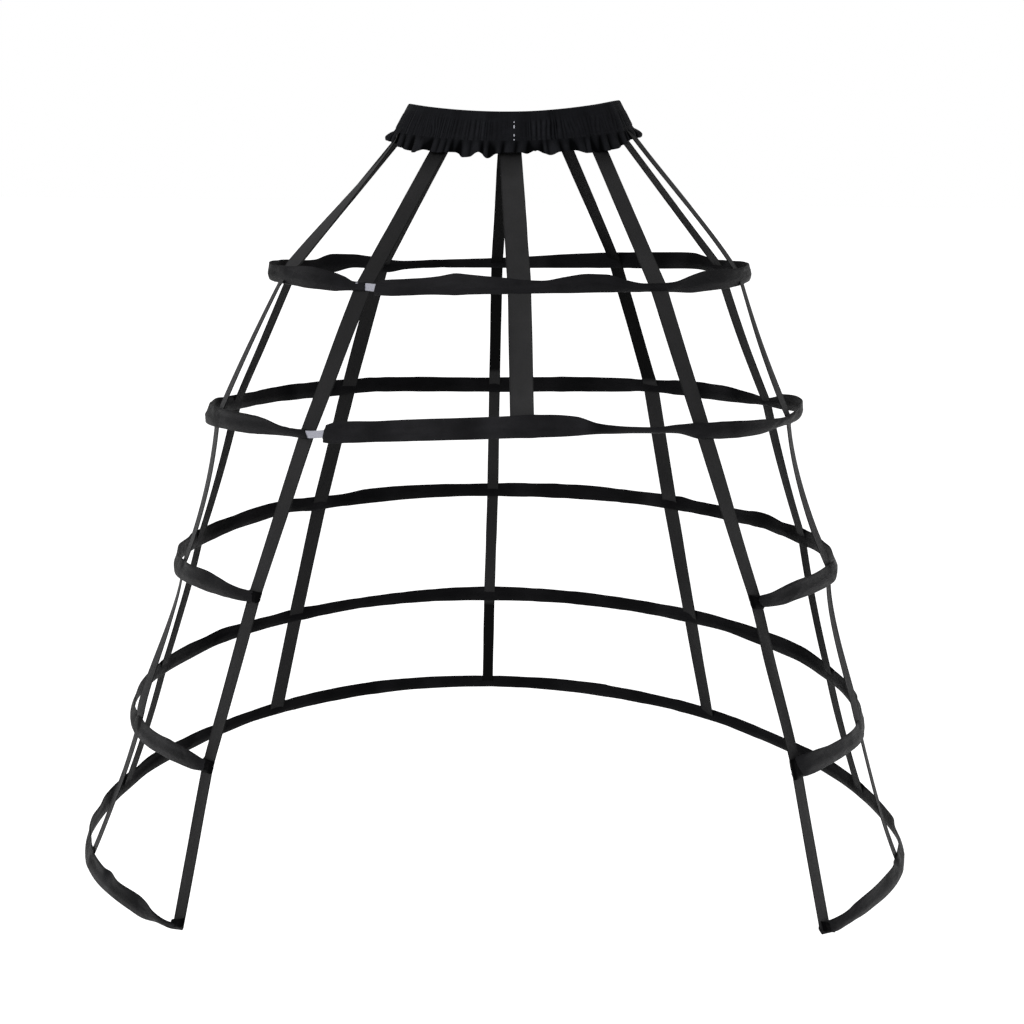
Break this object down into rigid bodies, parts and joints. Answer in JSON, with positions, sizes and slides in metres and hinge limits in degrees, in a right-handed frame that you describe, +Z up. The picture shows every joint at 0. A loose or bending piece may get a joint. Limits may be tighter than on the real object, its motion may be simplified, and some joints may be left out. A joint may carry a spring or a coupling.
{
  "type": "crinoline cage",
  "caption": "Open-fronted hoop skirt frame: tapes hang from a gathered waistband and carry boned hoops in fabric casings, to hold out a skirt.",
  "frame": {"origin": "centre of the waistband's top edge, where the cage hangs from the wearer", "axes": "+Z up along the wearer, -Y towards the open front, +X to the right as seen from the front"},
  "size_m": [0.8228, 0.712, 0.7315],
  "materials": {
    "waistband_cloth": "gathered black cotton over elastic, matte",
    "elastic": "woven black elastic",
    "tape_ribbon": "charcoal woven ribbon, soft sheen",
    "casing_cloth": "black polyester tubing, creased, slight satin sheen",
    "bone_plastic": "milky white plastic strip",
    "connector_plastic": "translucent white plastic sleeve"
  },
  "bodies": {
    "root": {"waistband": "waistband_cloth", "waist_elastic": "elastic", "tape_front_centre": "tape_ribbon", "tape_back_centre": "tape_ribbon", "tape_front_left": "tape_ribbon", "tape_side_front_left": "tape_ribbon", "tape_side_back_left": "tape_ribbon", "tape_back_left": "tape_ribbon", "tape_front_right": "tape_ribbon", "tape_side_front_right": "tape_ribbon", "tape_side_back_right": "tape_ribbon", "tape_back_right": "tape_ribbon", "hoop_casing_1": "casing_cloth", "hoop_casing_2": "casing_cloth", "hoop_casing_3": "casing_cloth", "hoop_casing_4": "casing_cloth", "hoop_casing_5": "casing_cloth", "hoop_bone_1": "bone_plastic", "hoop_bone_2": "bone_plastic", "hoop_bone_3": "bone_plastic", "hoop_bone_4": "bone_plastic", "hoop_bone_5": "bone_plastic", "bone_connector_1": "connector_plastic", "bone_connector_2": "connector_plastic"}
  },
  "joints": []
}
